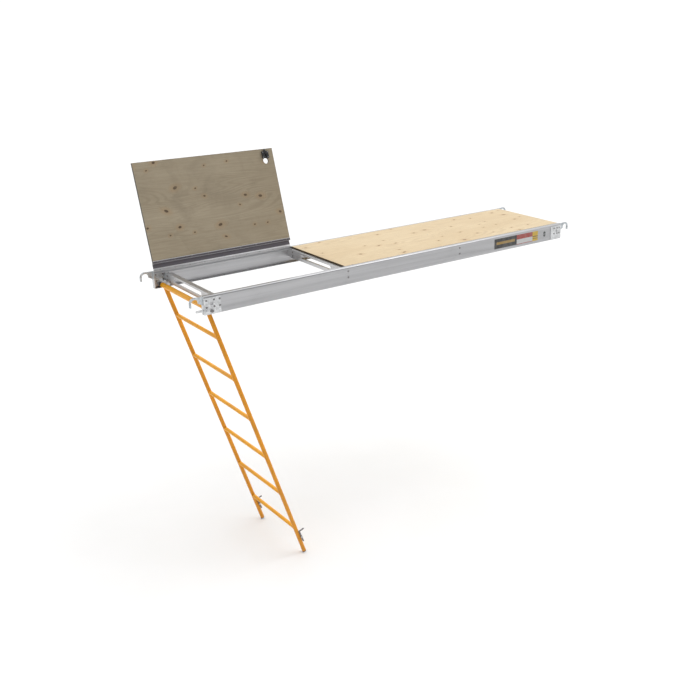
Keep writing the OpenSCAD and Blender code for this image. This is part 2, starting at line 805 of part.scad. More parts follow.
module stow_hook_profile() {
    w = stow_bar;
    difference() {
        union() {
            circle(d = 15);
            translate([-w / 2, 0]) square([w, stow_arm]);
            translate([0, stow_arm]) circle(d = w);
            translate([0, stow_arm - w / 2]) square([stow_prong - w / 2, w]);
            translate([stow_prong - w / 2, stow_arm]) circle(d = w);
            rotate(4) translate([-w / 2, -stow_tail + w / 2]) square([w, stow_tail - w / 2]);
            rotate(4) translate([0, -stow_tail + w / 2]) circle(d = w);
        }
        circle(r = stow_pin_r + run_gap);
    }
}

module stow_hook(y) {
    color([0.72, 0.75, 0.78]) ladder_place()
        translate([stow_out, y * stile_gap / 2 - stow_plane, -stow_s])
            plate_y(-stow_t / 2, stow_t) stow_hook_profile();
}
module stow_hook_front() { stow_hook(-1); }
module stow_hook_rear() { stow_hook(1); }

// ---- Wind locks ----

module wind_lock(c) {
    color([0.55, 0.60, 0.68]) at_corner(c) translate([hook_reach + lock_in, lock_u, lock_z])
        difference() {
            plate_y(0, lock_t) {
                circle(r = 8.5);
                translate([-lock_reach + lock_h / 2, -lock_h / 2]) square([lock_reach, lock_h]);
                translate([-lock_reach + lock_h / 2, 0]) circle(d = lock_h);
            }
            rod_y(lock_pin_r + run_gap, -1, lock_t + 2);
        }
}
module wind_lock_front() { wind_lock(lock_corner[0]); }
module wind_lock_rear() { wind_lock(lock_corner[1]); }

module wind_lock_pins() {
    grip = lock_u + lock_t + 9;
    color([0.42, 0.44, 0.46]) for (c = lock_corner) at_corner(c)
        translate([hook_reach + lock_in, 0, lock_z]) {
            rod_y(lock_pin_r, -bracket_t - 0.5, bracket_t + grip + 1);
            rod_y(7, -bracket_t - 2.52, 2.5);
            rod_y(7, grip, 2);
        }
}

// Return springs, drawn as close turns around the pins
module wind_lock_springs() {
    turns = 4;
    wire = 1.6;
    color([0.35, 0.36, 0.38]) for (c = lock_corner) at_corner(c)
        translate([hook_reach + lock_in, lock_u + lock_t + 1.4, lock_z]) rotate([-90, 0, 0])
            for (i = [0:turns - 1]) translate([0, 0, i * wire * 0.98])
                rotate_extrude() translate([lock_pin_r + 1.6, 0]) circle(d = wire);
}

// ---- Label plates on the front rail ----

module label(x, len, z, h) {
    translate([label_x0 + x, -rail_half - label_t - 0.02, rail_bot + z]) cube([len, label_t, h]);
}
module name_plate() { color([0.05, 0.05, 0.04]) label(0, 220, 20, 72); }
module caution_plate() { color([0.72, 0.16, 0.13]) label(220.5, 161, 20, 72); }
module yellow_plate() { color([0.93, 0.78, 0.05]) label(382, 55, 20, 72); }
module oval_badge() {
    color([0.12, 0.13, 0.13]) translate([end_x[1] - 172, -rail_half - label_t - 0.02, rail_bot + 56])
        rotate([-90, 0, 0]) linear_extrude(label_t) {
            for (z = [-1, 1]) translate([0, 9 * z]) circle(d = 22);
            square([22, 18], center = true);
        }
}

front_rail();
rear_rail();
hatch_end_beam();
header_beam();
deck_beam();
plain_end_beam();
end_beam_angles();
middle_beam_angles();
stow_keepers();
beam_rivets();
bracket_rivets();
for (c = CORNERS) bracket(c);
for (c = CORNERS) hook(c);
deck_panel();
deck_screws();
hinge_socket();
hinge_rivets();
hatch_panel();
hatch_hinge_profile();
hatch_rivets();
latch_case();
latch_screws();
latch_bolt();
latch_spring();
ladder_pivot_tube();
ladder_stile_front();
ladder_stile_rear();
for (i = [1:rung_n]) rung(i);
stile_plugs();
ladder_stops();
pivot_bushes();
pivot_bolts();
pivot_nuts();
pivot_spacers();
stow_lugs();
stow_pins();
stow_hook_front();
stow_hook_rear();
wind_lock_front();
wind_lock_rear();
wind_lock_pins();
wind_lock_springs();
name_plate();
caution_plate();
yellow_plate();
oval_badge();
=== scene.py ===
import json
import math
import random

import bmesh
import bpy
from mathutils import Matrix, Vector


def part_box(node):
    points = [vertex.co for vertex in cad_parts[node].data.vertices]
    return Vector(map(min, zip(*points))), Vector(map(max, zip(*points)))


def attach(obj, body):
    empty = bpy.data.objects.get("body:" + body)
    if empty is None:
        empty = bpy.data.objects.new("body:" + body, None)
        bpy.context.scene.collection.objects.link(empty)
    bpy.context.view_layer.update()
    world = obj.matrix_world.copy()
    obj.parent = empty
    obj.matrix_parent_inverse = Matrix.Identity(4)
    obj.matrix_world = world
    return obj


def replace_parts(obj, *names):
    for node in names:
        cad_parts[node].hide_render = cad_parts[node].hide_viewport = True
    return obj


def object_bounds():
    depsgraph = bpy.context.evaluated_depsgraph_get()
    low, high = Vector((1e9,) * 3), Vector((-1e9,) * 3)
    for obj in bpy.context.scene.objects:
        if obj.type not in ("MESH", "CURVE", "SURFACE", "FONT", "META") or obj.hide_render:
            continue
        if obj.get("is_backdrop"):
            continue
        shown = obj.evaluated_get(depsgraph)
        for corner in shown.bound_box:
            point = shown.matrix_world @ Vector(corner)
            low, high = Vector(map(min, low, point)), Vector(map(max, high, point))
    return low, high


# Looks of an aluminium scaffold access deck: satin extrusions, galvanised hooks and brackets,
# plywood deck and hatch, and an orange powder-coated ladder. Metres throughout.

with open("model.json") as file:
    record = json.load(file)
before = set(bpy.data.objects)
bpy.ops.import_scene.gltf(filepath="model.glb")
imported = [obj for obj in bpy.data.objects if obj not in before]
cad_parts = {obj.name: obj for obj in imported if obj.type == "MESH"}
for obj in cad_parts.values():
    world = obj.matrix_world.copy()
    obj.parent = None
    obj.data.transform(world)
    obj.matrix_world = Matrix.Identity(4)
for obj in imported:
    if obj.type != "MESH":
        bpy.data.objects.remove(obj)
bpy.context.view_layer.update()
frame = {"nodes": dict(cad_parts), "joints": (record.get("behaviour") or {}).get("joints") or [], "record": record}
nodes = frame["nodes"]
joints = {j["name"]: j for j in frame["joints"]}
rng = random.Random(7)

MM = 0.001

# ---- Places taken from the frame ----

HINGE = Vector(joints["hatch_hinge"]["pos_m"])
HATCH_TURN = math.radians(joints["hatch_hinge"]["range_deg"][1])
HATCH_ROT = Matrix.Rotation(-HATCH_TURN, 3, "X")
HATCH_UP = HATCH_ROT @ Vector((0, 0, 1))
HATCH_REAR = HATCH_ROT @ Vector((0, 1, 0))
LADDER_PIVOT = Vector(joints["ladder_pivot"]["pos_m"])
LADDER_LEAN = math.radians(90 + joints["ladder_pivot"]["range_deg"][0])
LADDER = Matrix.Translation(LADDER_PIVOT) @ Matrix.Rotation(-LADDER_LEAN, 4, "Y")

# The closed hatch panel, from the deck panel and the gaps of the hinge section round it
SEAT_GAP = 0.4 * MM
FREE_EDGE_GAP = 1 * MM
HINGE_CHANNEL = 37 * MM
HINGE_LOWER_LIP = 15 * MM
HINGE_NECK = 6 * MM
DECK_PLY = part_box("deck_panel")
HATCH_X = [v.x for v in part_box("hatch_panel")]
HATCH_LO_Z = DECK_PLY[0].z + SEAT_GAP
HATCH_REAR_Y = HINGE.y - HINGE_CHANNEL
HATCH_PLY = (Vector((HATCH_X[0], DECK_PLY[0].y + FREE_EDGE_GAP, HATCH_LO_Z)),
             Vector((HATCH_X[1], HATCH_REAR_Y, HATCH_LO_Z + DECK_PLY[1].z - DECK_PLY[0].z)))

# ---- Material graphs ----

class Graph:
    """A material with a Principled shader and short calls to add nodes to it."""

    def __init__(self, name, **sockets):
        self.mat = bpy.data.materials.new(name)
        self.mat.use_nodes = True
        self.tree = self.mat.node_tree
        self.tree.nodes.clear()
        out = self.add("ShaderNodeOutputMaterial")
        self.bsdf = self.add("ShaderNodeBsdfPrincipled")
        self.tree.links.new(self.bsdf.outputs[0], out.inputs["Surface"])
        for key, value in sockets.items():
            self.bsdf.inputs[key.replace("_", " ")].default_value = value
        self.coord = self.add("ShaderNodeTexCoord")

    def add(self, kind, **attrs):
        node = self.tree.nodes.new(kind)
        for key, value in attrs.items():
            setattr(node, key, value)
        return node

    def put(self, socket, value):
        """Links an output to a socket, or sets its value."""
        if isinstance(value, bpy.types.NodeSocket):
            self.tree.links.new(value, socket)
        elif isinstance(value, tuple) and len(value) == 3 and socket.type == "RGBA":
            socket.default_value = (*value, 1)
        else:
            socket.default_value = value

    def set(self, name, value):
        self.put(self.bsdf.inputs[name], value)

    def place(self, scale=(1, 1, 1), turn=False, vector=None):
        """Object coordinates, turned back to the closed hatch if turn is set, then scaled."""
        out = vector or self.coord.outputs["Object"]
        if turn:
            back = HATCH_ROT.inverted()
            node = self.add("ShaderNodeMapping")
            self.put(node.inputs["Vector"], out)
            node.inputs["Rotation"].default_value = (HATCH_TURN, 0, 0)
            node.inputs["Location"].default_value = HINGE - back @ HINGE
            out = node.outputs[0]
        node = self.add("ShaderNodeMapping")
        self.put(node.inputs["Vector"], out)
        node.inputs["Scale"].default_value = scale
        return node.outputs[0]

    def noise(self, vector, scale=1.0, detail=2.0, rough=0.5, distort=0.0):
        node = self.add("ShaderNodeTexNoise")
        self.put(node.inputs["Vector"], vector)
        for key, value in (("Scale", scale), ("Detail", detail), ("Roughness", rough),
                           ("Distortion", distort)):
            node.inputs[key].default_value = value
        return node.outputs["Fac"]

    def cells(self, vector, scale=1.0, feature="F1", dims="3D"):
        node = self.add("ShaderNodeTexVoronoi", feature=feature, voronoi_dimensions=dims)
        self.put(node.inputs["Vector"], vector)
        node.inputs["Scale"].default_value = scale
        return node

    def math(self, op, a, b=0.0, clamp=False):
        node = self.add("ShaderNodeMath", operation=op, use_clamp=clamp)
        for socket, value in zip(node.inputs, (a, b)):
            self.put(socket, value)
        return node.outputs[0]

    def between(self, value, lo, hi):
        """1 where a value lies between two limits, else 0."""
        return self.math("MULTIPLY", self.math("GREATER_THAN", value, lo),
                         self.math("LESS_THAN", value, hi))

    def vmath(self, op, a, b):
        node = self.add("ShaderNodeVectorMath", operation=op)
        self.put(node.inputs[0], a)
        self.put(node.inputs[1], b)
        return node.outputs[0]

    def span(self, value, lo, hi, to_lo=0.0, to_hi=1.0, smooth=True):
        """Maps lo..hi of a value to to_lo..to_hi, held at the ends."""
        node = self.add("ShaderNodeMapRange")
        node.interpolation_type = "SMOOTHSTEP" if smooth else "LINEAR"
        for key, v in (("Value", value), ("From Min", lo), ("From Max", hi),
                       ("To Min", to_lo), ("To Max", to_hi)):
            self.put(node.inputs[key], v)
        return node.outputs[0]

    def mix(self, fac, a, b):
        node = self.add("ShaderNodeMix", data_type="RGBA")
        self.put(node.inputs["Factor"], fac)
        self.put(node.inputs[6], a)
        self.put(node.inputs[7], b)
        return node.outputs[2]

    def split(self, vector):
        node = self.add("ShaderNodeSeparateXYZ")
        self.put(node.inputs[0], vector)
        return node.outputs

    def join(self, x, y, z):
        node = self.add("ShaderNodeCombineXYZ")
        for socket, value in zip(node.inputs, (x, y, z)):
            self.put(socket, value)
        return node.outputs[0]

    def bump(self, height, depth, strength=1.0, below=None):
        """Bump of a height that is 0 to 1, depth metres high, over an earlier bump."""
        node = self.add("ShaderNodeBump")
        self.put(node.inputs["Height"], height)
        node.inputs["Distance"].default_value = depth
        node.inputs["Strength"].default_value = strength
        if below is not None:
            self.put(node.inputs["Normal"], below)
        return node.outputs[0]


def tint(colour, factor):
    return tuple(min(1.0, c * factor) for c in colour)


def extrusion(name, colour, along, rough):
    """Mill-finish aluminium: draw lines along one axis, handling marks and slight dulling."""
    g = Graph(name, Metallic=1.0)
    fine = [260.0, 260.0, 260.0]
    wide = [38.0, 38.0, 38.0]
    i = "xyz".index(along)
    fine[i], wide[i] = 1.6, 0.7
    lines = g.noise(g.place(tuple(fine)), detail=3.0, rough=0.65)
    bands = g.noise(g.place(tuple(wide)), detail=2.0)
    blots = g.noise(g.place(), scale=9.0, detail=5.0, rough=0.6, distort=0.4)
    marks = g.span(g.noise(g.place(), scale=55.0, detail=6.0, rough=0.7), 0.60, 0.74)
    body = g.mix(g.span(lines, 0.3, 0.7, 0.0, 0.55), colour, tint(colour, 0.80))
    body = g.mix(g.span(bands, 0.35, 0.65, 0.0, 0.5), body, tint(colour, 1.18))
    body = g.mix(g.span(blots, 0.52, 0.75, 0.0, 0.12), body, tint(colour, 0.78))
    body = g.mix(g.math("MULTIPLY", marks, 0.35), body, tint(colour, 1.25))
    g.set("Base Color", body)
    r = g.math("ADD", g.span(lines, 0.2, 0.8, rough - 0.06, rough + 0.08),
               g.span(blots, 0.45, 0.75, 0.0, 0.05))
    g.set("Roughness", r)
    g.set("Normal", g.bump(marks, 0.00006, 0.5, below=g.bump(lines, 0.00008, 0.45)))
    return g.mat


def hinge_finish(name, dark, bright, edge_y, root_y):
    """Hinge leaf in the closed hatch's place, its dark base colour being painted shade: fine lines, a brighter rim
    that is a painted highlight on the lip's lit edge, and brighter groove and root.
    """
    g = Graph(name, Metallic=0.92)
    at = g.place(turn=True)
    _, y, _ = g.split(at)
    lines = g.noise(g.place((1.2, 330.0, 330.0), turn=True), detail=3.0, rough=0.65)
    bands = g.noise(g.place((0.6, 90.0, 90.0), turn=True), detail=1.0)
    scuff = g.span(g.noise(at, scale=60.0, detail=6.0, rough=0.7), 0.58, 0.74)
    rim = g.between(y, edge_y - 0.5 * MM, edge_y + 3.5 * MM)
    root = g.math("GREATER_THAN", y, root_y)
    groove = g.between(y, edge_y + 16 * MM, edge_y + 18.5 * MM)
    # bare marks the bright parts: the rim is a painted highlight on the lip's lit edge, and the groove and root
    # are drawn bright as well.
    bare = g.math("MAXIMUM", g.math("MULTIPLY", groove, 0.6), g.math("MAXIMUM", rim, root))
    body = g.mix(g.span(lines, 0.3, 0.7, 0.0, 0.6), dark, tint(dark, 0.68))
    body = g.mix(g.span(bands, 0.35, 0.65, 0.0, 0.5), body, tint(dark, 1.35))
    body = g.mix(g.math("MULTIPLY", scuff, 0.3), body, tint(dark, 1.8))
    g.set("Base Color", g.mix(bare, body, bright))
    g.set("Roughness", g.span(lines, 0.2, 0.8, 0.30, 0.44))
    g.set("Normal", g.bump(lines, 0.00008, 0.5))
    return g.mat


def galvanised(name, colour, spangle, rough):
    """Hot-dip zinc: faceted crystals of slightly different tone, with dull grey bloom."""
    g = Graph(name, Metallic=0.85)
    at = g.place()
    wob = g.vmath("ADD", at, g.vmath("MULTIPLY", g.join(
        g.noise(at, scale=90.0), g.noise(g.place((1, 1.3, 1)), scale=80.0), 0.5), (0.004, 0.004, 0.004)))
    cell = g.cells(wob, scale=1 / spangle)
    tone = g.split(cell.outputs["Color"])[0]
    edge = g.cells(wob, scale=1 / spangle, feature="DISTANCE_TO_EDGE").outputs["Distance"]
    bloom = g.noise(at, scale=24.0, detail=6.0, rough=0.65, distort=0.8)
    rust = g.span(g.noise(at, scale=13.0, detail=7.0, rough=0.7), 0.64, 0.78)
    body = g.mix(tone, tint(colour, 0.82), tint(colour, 1.16))
    body = g.mix(g.span(bloom, 0.45, 0.72, 0.0, 0.5), body, tint(colour, 0.68))
    body = g.mix(g.math("MULTIPLY", rust, 0.22), body, (0.42, 0.33, 0.26))
    g.set("Base Color", body)
    g.set("Roughness", g.math("ADD", g.span(tone, 0.0, 1.0, rough - 0.09, rough + 0.09, False),
                              g.span(bloom, 0.4, 0.7, 0.0, 0.12)))
    pits = g.span(g.noise(at, scale=420.0, detail=2.0), 0.35, 0.65)
    g.set("Normal", g.bump(g.span(edge, 0.0, 0.08), 0.00005, 0.4, below=g.bump(pits, 0.00008, 0.5)))
    return g.mat


def knot_field(g, flat, share):
    """Knots at the centres of cells, of which a share has one: (distance in radii, core, halo)."""
    wander = g.noise(g.place((2.0, 5.0, 1.0), vector=flat), detail=1.0)
    grid = g.place((5.4, 7.2, 1.0), vector=flat)
    knot = g.cells(g.vmath("ADD", grid, g.join(wander, 0.0, 0.0)), dims="2D")
    pick = g.split(knot.outputs["Color"])
    size = g.span(g.math("POWER", pick[1], 2.0), 0.0, 1.0, 0.040, 0.085, False)
    has = g.math("GREATER_THAN", pick[0], 1.0 - share)
    away = g.math("DIVIDE", knot.outputs["Distance"], size)
    ragged = g.noise(g.place((240.0, 240.0, 1.0), vector=flat), detail=2.0)
    away = g.math("ADD", away, g.span(ragged, 0.2, 0.8, -0.16, 0.16, False))
    core = g.math("MULTIPLY", has, g.math("SUBTRACT", 1.0, g.span(away, 0.62, 1.08)))
    halo = g.math("MULTIPLY", has, g.math("SUBTRACT", 1.0, g.span(away, 0.85, 3.6)))
    return away, core, halo


def late_wood(g, flat, halo):
    """Contour grain: level lines of a long low noise, pushed aside by the knots."""
    hills = g.noise(g.place((0.62, 4.6, 1.0), vector=flat), detail=2.5, rough=0.5, distort=0.5)
    hills = g.math("ADD", hills, g.math("MULTIPLY", halo, 0.085))
    rings = g.math("SINE", g.math("MULTIPLY", hills, 210.0))
    fade = g.span(g.noise(g.place((1.6, 7.0, 1.0), vector=flat), detail=2.0), 0.36, 0.66, 0.15, 1.0)
    return g.math("MULTIPLY", g.span(rings, -0.2, 1.0), fade)


def ply_edges(g, z, ply_box, edge, turned):
    """Five plies on every edge: even plies run across, so they show darker end grain."""
    lo, hi = ply_box
    level = g.math("MULTIPLY", g.math("SUBTRACT", z, lo.z), 5 / (hi.z - lo.z))
    cross = g.math("GREATER_THAN", g.math("MODULO", level, 2.0), 1.0)
    end = g.noise(g.place((160.0, 160.0, 700.0), turn=turned), detail=3.0, rough=0.7)
    plies = g.mix(cross, edge, tint(edge, 0.5))
    plies = g.mix(g.span(end, 0.3, 0.75), plies, tint(edge, 0.38))
    glue = g.math("LESS_THAN", g.math("FRACT", level), 0.09)
    return g.mix(g.math("MULTIPLY", glue, 0.8), plies, (0.04, 0.025, 0.015))


def weathered(g, body, at, flat, light, dark, grime):
    """Patches of dirt and paler scuffs over a veneer."""
    dirt = g.span(g.noise(at, scale=5.0, detail=7.0, rough=0.65, distort=0.6), 0.46, 0.74)
    body = g.mix(g.math("MULTIPLY", dirt, grime), body, tint(dark, 0.62))
    scuffs = g.noise(g.place((7.0, 60.0, 1.0), vector=flat), detail=5.0, rough=0.7)
    scuffs = g.math("MULTIPLY", g.span(scuffs, 0.56, 0.74), grime * 0.6)
    return g.mix(scuffs, body, tint(light, 1.12))


def worn_border(g, body, x, y, ply_box, streak, edge, width):
    """A worn line round the panel, except along its rear edge."""
    lo, hi = ply_box
    inside = g.math("MINIMUM", g.math("SUBTRACT", x, lo.x), g.math("SUBTRACT", hi.x, x))
    inside = g.math("MINIMUM", inside, g.math("SUBTRACT", y, lo.y))
    ragged = g.math("ADD", inside, g.span(streak, 0.2, 0.8, -0.4 * width, 0.4 * width, False))
    worn = g.math("SUBTRACT", 1.0, g.span(ragged, 0.2 * width, width))
    return g.mix(g.math("MULTIPLY", worn, 0.75), body, tint(edge, 1.3))


def plywood(name, light, dark, ply_box, edge, turned=False, knots=0.7, grime=0.0,
            knot_colour=(0.16, 0.075, 0.028), border=0.0):
    """Rotary-cut face veneer with contour grain, fibres and knots; the plies show on the edges."""
    g = Graph(name)
    at = g.place(turn=turned)
    x, y, z = g.split(at)
    flat = g.join(x, y, 0.0)
    away, core, halo = knot_field(g, flat, knots)
    late = late_wood(g, flat, halo)
    fibre = g.noise(g.place((9.0, 520.0, 1.0), vector=flat), detail=4.0, rough=0.7)
    streak = g.noise(g.place((1.9, 70.0, 1.0), vector=flat), detail=3.0, rough=0.6)
    pores = g.span(g.noise(g.place((22.0, 900.0, 1.0), vector=flat), detail=1.0), 0.62, 0.74)
    cloud = g.noise(g.place((1.3, 4.0, 1.0), vector=flat), detail=4.0, rough=0.55)

    mid = tuple(0.5 * (a + b) for a, b in zip(light, dark))
    body = g.mix(g.span(cloud, 0.32, 0.68), light, mid)
    body = g.mix(g.span(streak, 0.36, 0.70, 0.0, 0.42), body, dark)
    body = g.mix(g.math("MULTIPLY", late, 0.58), body, tint(dark, 0.92))
    body = g.mix(g.span(fibre, 0.35, 0.75, 0.0, 0.34), body, tint(dark, 0.84))
    body = g.mix(g.math("MULTIPLY", pores, 0.4), body, tint(dark, 0.6))
    warm = tuple(0.5 * (d + k) for d, k in zip(dark, (0.45, 0.25, 0.09)))
    body = g.mix(g.math("MULTIPLY", halo, 0.45), body, warm)
    ring_in = g.span(g.math("SINE", g.math("MULTIPLY", away, 11.0)), -1.0, 1.0)
    brown = g.mix(ring_in, knot_colour, tint(knot_colour, 1.9))
    body = g.mix(g.math("MULTIPLY", core, 0.94), body, brown)
    if grime:
        body = weathered(g, body, at, flat, light, dark, grime)
    if border:
        body = worn_border(g, body, x, y, ply_box, streak, edge, border)

    normal = g.coord.outputs["Normal"]
    if turned:
        spin = g.add("ShaderNodeMapping", vector_type="NORMAL")
        g.put(spin.inputs["Vector"], normal)
        spin.inputs["Rotation"].default_value = (HATCH_TURN, 0, 0)
        normal = spin.outputs[0]
    # Up and down faces take the veneer, the sides the plies; the plies and end grain are real, the sides' dark
    # overall tone is painted shade.
    face = g.span(g.math("ABSOLUTE", g.split(normal)[2]), 0.45, 0.6)
    g.set("Base Color", g.mix(face, ply_edges(g, z, ply_box, edge, turned), body))
    g.set("Roughness", g.math("ADD", g.span(fibre, 0.2, 0.8, 0.50, 0.66),
                              g.math("MULTIPLY", late, -0.05)))
    dent = g.bump(g.math("SUBTRACT", 1.0, pores), 0.00018, 0.6)
    dent = g.bump(fibre, 0.00022, 0.55, below=dent)
    g.set("Normal", g.bump(g.math("MULTIPLY", late, 0.7), 0.00016, 0.6, below=dent))
    return g.mat


def powder_coat(name, colour, chips=1.0):
    """Orange powder coat: fine peel, scuffs that lighten it, and small chips to bare metal."""
    g = Graph(name, Specular_IOR_Level=0.32, Coat_Weight=0.06, Coat_Roughness=0.25)
    at = g.place()
    peel = g.noise(at, scale=620.0, detail=2.0)
    cloud = g.noise(at, scale=7.0, detail=4.0, rough=0.6)
    scuff = g.span(g.noise(g.place((60.0, 14.0, 60.0)), detail=5.0, rough=0.75), 0.60, 0.74)
    chip = g.math("MULTIPLY", g.span(g.noise(at, scale=150.0, detail=3.0), 0.715, 0.735),
                  g.span(g.noise(at, scale=17.0), 0.52, 0.66))
    chip = g.math("MULTIPLY", chip, chips, clamp=True)
    body = g.mix(g.span(cloud, 0.3, 0.7), tint(colour, 0.90), tint(colour, 1.08))
    body = g.mix(g.math("MULTIPLY", scuff, 0.16), body, (0.90, 0.50, 0.12))
    body = g.mix(chip, body, (0.34, 0.31, 0.28))
    g.set("Base Color", body)
    g.set("Metallic", g.math("MULTIPLY", chip, 0.8))
    g.set("Roughness", g.math("ADD", g.span(cloud, 0.3, 0.7, 0.34, 0.44),
                              g.math("MULTIPLY", scuff, 0.22)))
    dent = g.bump(peel, 0.00012, 0.35)
    g.set("Normal", g.bump(g.math("SUBTRACT", 1.0, chip), 0.00012, 0.6, below=dent))
    return g.mat


def plated(name, colour, rough, metallic=1.0, grime=(0.12, 0.10, 0.09)):
    """Zinc-plated or plain hardware: fine brushing, dark grime in patches."""
    g = Graph(name, Metallic=metallic)
    at = g.place()
    fine = g.noise(at, scale=900.0, detail=3.0, rough=0.7)
    film = g.span(g.noise(at, scale=110.0, detail=5.0, rough=0.65), 0.46, 0.70)
    body = g.mix(g.span(fine, 0.3, 0.7), tint(colour, 0.86), tint(colour, 1.1))
    g.set("Base Color", g.mix(g.math("MULTIPLY", film, 0.42), body, grime))
    g.set("Roughness", g.math("ADD", g.span(fine, 0.3, 0.7, rough - 0.05, rough + 0.07),
                              g.math("MULTIPLY", film, 0.22)))
    g.set("Normal", g.bump(fine, 0.00005, 0.4))
    return g.mat


def moulded(name, colour, rough):
    """Moulded plastic: fine spark-eroded grain, dust in patches."""
    g = Graph(name)
    at = g.place()
    fine = g.noise(at, scale=1400.0, detail=2.0)
    dust = g.span(g.noise(at, scale=70.0, detail=5.0, rough=0.7), 0.50, 0.78)
    body = g.mix(g.span(fine, 0.3, 0.7), tint(colour, 0.85), tint(colour, 1.2))
    g.set("Base Color", g.mix(g.math("MULTIPLY", dust, 0.2), body, (0.35, 0.33, 0.30)))
    g.set("Roughness", g.span(dust, 0.0, 1.0, rough - 0.06, rough + 0.14))
    g.set("Normal", g.bump(fine, 0.00008, 0.6))
    return g.mat


def plate_print(name, base, bands, plate):
    """Coated label stock: plain bands of colour across a plate, with light scratches.
    Each band is (axis, start, end, colour), with start and end as shares of the plate's size."""
    lo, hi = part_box(plate)
    g = Graph(name, Coat_Weight=0.3, Coat_Roughness=0.15)
    at = g.place()
    xyz = g.split(at)
    body = base
    for axis, start, end, colour in bands:
        i = "xyz".index(axis)
        p = g.math("DIVIDE", g.math("SUBTRACT", xyz[i], lo[i]), hi[i] - lo[i])
        body = g.mix(g.between(p, start, end), body, colour)
    wear = g.span(g.noise(g.place((40.0, 40.0, 260.0)), detail=5.0, rough=0.7), 0.58, 0.75)
    fade = g.noise(at, scale=30.0, detail=4.0)
    body = g.mix(g.math("MULTIPLY", wear, 0.22), body, (0.45, 0.43, 0.41))
    body = g.mix(g.span(fade, 0.3, 0.8, 0.0, 0.12), body, (0.6, 0.58, 0.55))
    g.set("Base Color", body)
    g.set("Roughness", g.span(fade, 0.3, 0.7, 0.28, 0.42))
    g.set("Normal", g.bump(wear, 0.00005, 0.5))
    return g.mat



mats = {
    "rail": extrusion("rail_mill_finish", (0.445, 0.445, 0.455), "x", 0.36),
    "beam": extrusion("beam_mill_finish", (0.56, 0.56, 0.565), "y", 0.38),
    "galvanised": galvanised("galvanised_bracket", (0.68, 0.69, 0.70), 0.010, 0.40),
    "hook_steel": galvanised("galvanised_hook", (0.52, 0.555, 0.58), 0.008, 0.34),
    "rivet": plated("rivet_aluminium", (0.27, 0.265, 0.265), 0.34, 1.0, (0.04, 0.035, 0.03)),
    # The edge colour is much darker than the veneer: the plies and end grain are real, their overall darkness is
    # painted shade on the panel's sides.
    "plywood": plywood("deck_plywood", (0.77, 0.625, 0.405), (0.62, 0.455, 0.25), DECK_PLY,
                       edge=(0.20, 0.14, 0.08)),
    # The hatch is the deck's plywood drawn at about half its tone, edge and knots too, as painted shade; the grime
    # patches over it are dirt.
    "hatch_ply": plywood("hatch_plywood_painted_shade", (0.41, 0.345, 0.245), (0.295, 0.24, 0.16), HATCH_PLY,
                         turned=True, knots=0.84, grime=0.35, edge=(0.085, 0.075, 0.06),
                         knot_colour=(0.052, 0.030, 0.015), border=3 * MM),
    # The hinge's dark colour is painted shade; its bright colour paints the highlights on the rim, groove and
    # root.
    "hinge": hinge_finish("hinge_painted_shade_and_highlight", (0.185, 0.172, 0.190), (0.72, 0.72, 0.73),
                          HATCH_REAR_Y - HINGE_LOWER_LIP, HINGE.y - HINGE_NECK),
    # Stiles and rungs carry one orange powder coat; the rungs are drawn lighter than the stiles as painted light.
    "ladder_paint": powder_coat("stile_powder_coat", (0.80, 0.315, 0.010)),
    "rung_paint": powder_coat("rung_powder_coat", (0.96, 0.42, 0.014), 0.7),
    "black_plastic": moulded("black_nylon", (0.018, 0.018, 0.019), 0.46),
    "pale_plastic": moulded("bush_nylon", (0.70, 0.68, 0.60), 0.42),
    "zinc": plated("zinc_hardware", (0.52, 0.53, 0.55), 0.30),
    # Dark plated steel for the pivot bolts and nuts; on the stow hooks it serves as painted shade.
    "dark_steel": plated("dark_zinc_steel_and_hook_shade", (0.23, 0.225, 0.23), 0.38, 0.9),
    "spring_steel": plated("spring_wire", (0.30, 0.31, 0.33), 0.25),
    "weld": plated("weld_metal", (0.80, 0.34, 0.03), 0.42, 0.0, (0.45, 0.20, 0.03)),
}

BLACK = (0.012, 0.012, 0.012)
AMBER = (0.33, 0.20, 0.035)
WHITE = (0.56, 0.56, 0.555)
RED = (0.34, 0.045, 0.035)
YELLOW = (0.58, 0.37, 0.006)
UMBER = (0.05, 0.04, 0.02)
SLATE = (0.03, 0.035, 0.035)
GREY = (0.28, 0.29, 0.30)
mats["label_black"] = plate_print("label_black_amber", BLACK, [
    ("z", 0.40, 0.66, AMBER), ("x", 0.0, 0.09, BLACK), ("x", 0.91, 1.0, BLACK)
], "name_plate")
mats["label_red"] = plate_print("label_red_white", WHITE, [
    ("z", 0.52, 1.0, RED), ("z", 0.0, 0.06, RED)
], "caution_plate")
mats["label_yellow"] = plate_print("label_yellow_black", YELLOW, [
    ("z", 0.44, 0.52, UMBER), ("z", 0.24, 0.29, UMBER)
], "yellow_plate")
mats["label_dark"] = plate_print("label_dark", SLATE, [("z", 0.42, 0.58, GREY)], "oval_badge")

# ---- CAD nodes that stay: finish from their record slot, edges broken by a small bevel ----

# The stow hooks take the dark steel rather than their slot's finish: painted shade for the hook bodies, which lie
# in shadow.
STOW_HOOKS = ("stow_hook_front", "stow_hook_rear")
slot_of = {row["node"]: row["slot"] for row in frame["record"]["materials"] if row.get("node")}
for name, node in nodes.items():
    slot = slot_of.get(name) or node.data.materials[0].name
    slot_of[name] = slot
    node.data.materials.clear()
    node.data.materials.append(mats["dark_steel"] if name in STOW_HOOKS else mats[slot])

# Bevel width in mm for each slot; round pins keep their edges
EDGE = {
    "rail": 0.5, "beam": 0.5, "galvanised": 0.6, "hook_steel": 0.9, "plywood": 0.6, "hatch_ply": 0.7,
    "hinge": 0.35, "ladder_paint": 0.5, "black_plastic": 0.9, "zinc": 0.3,
}
NO_BEVEL = ("wind_lock_pins",)


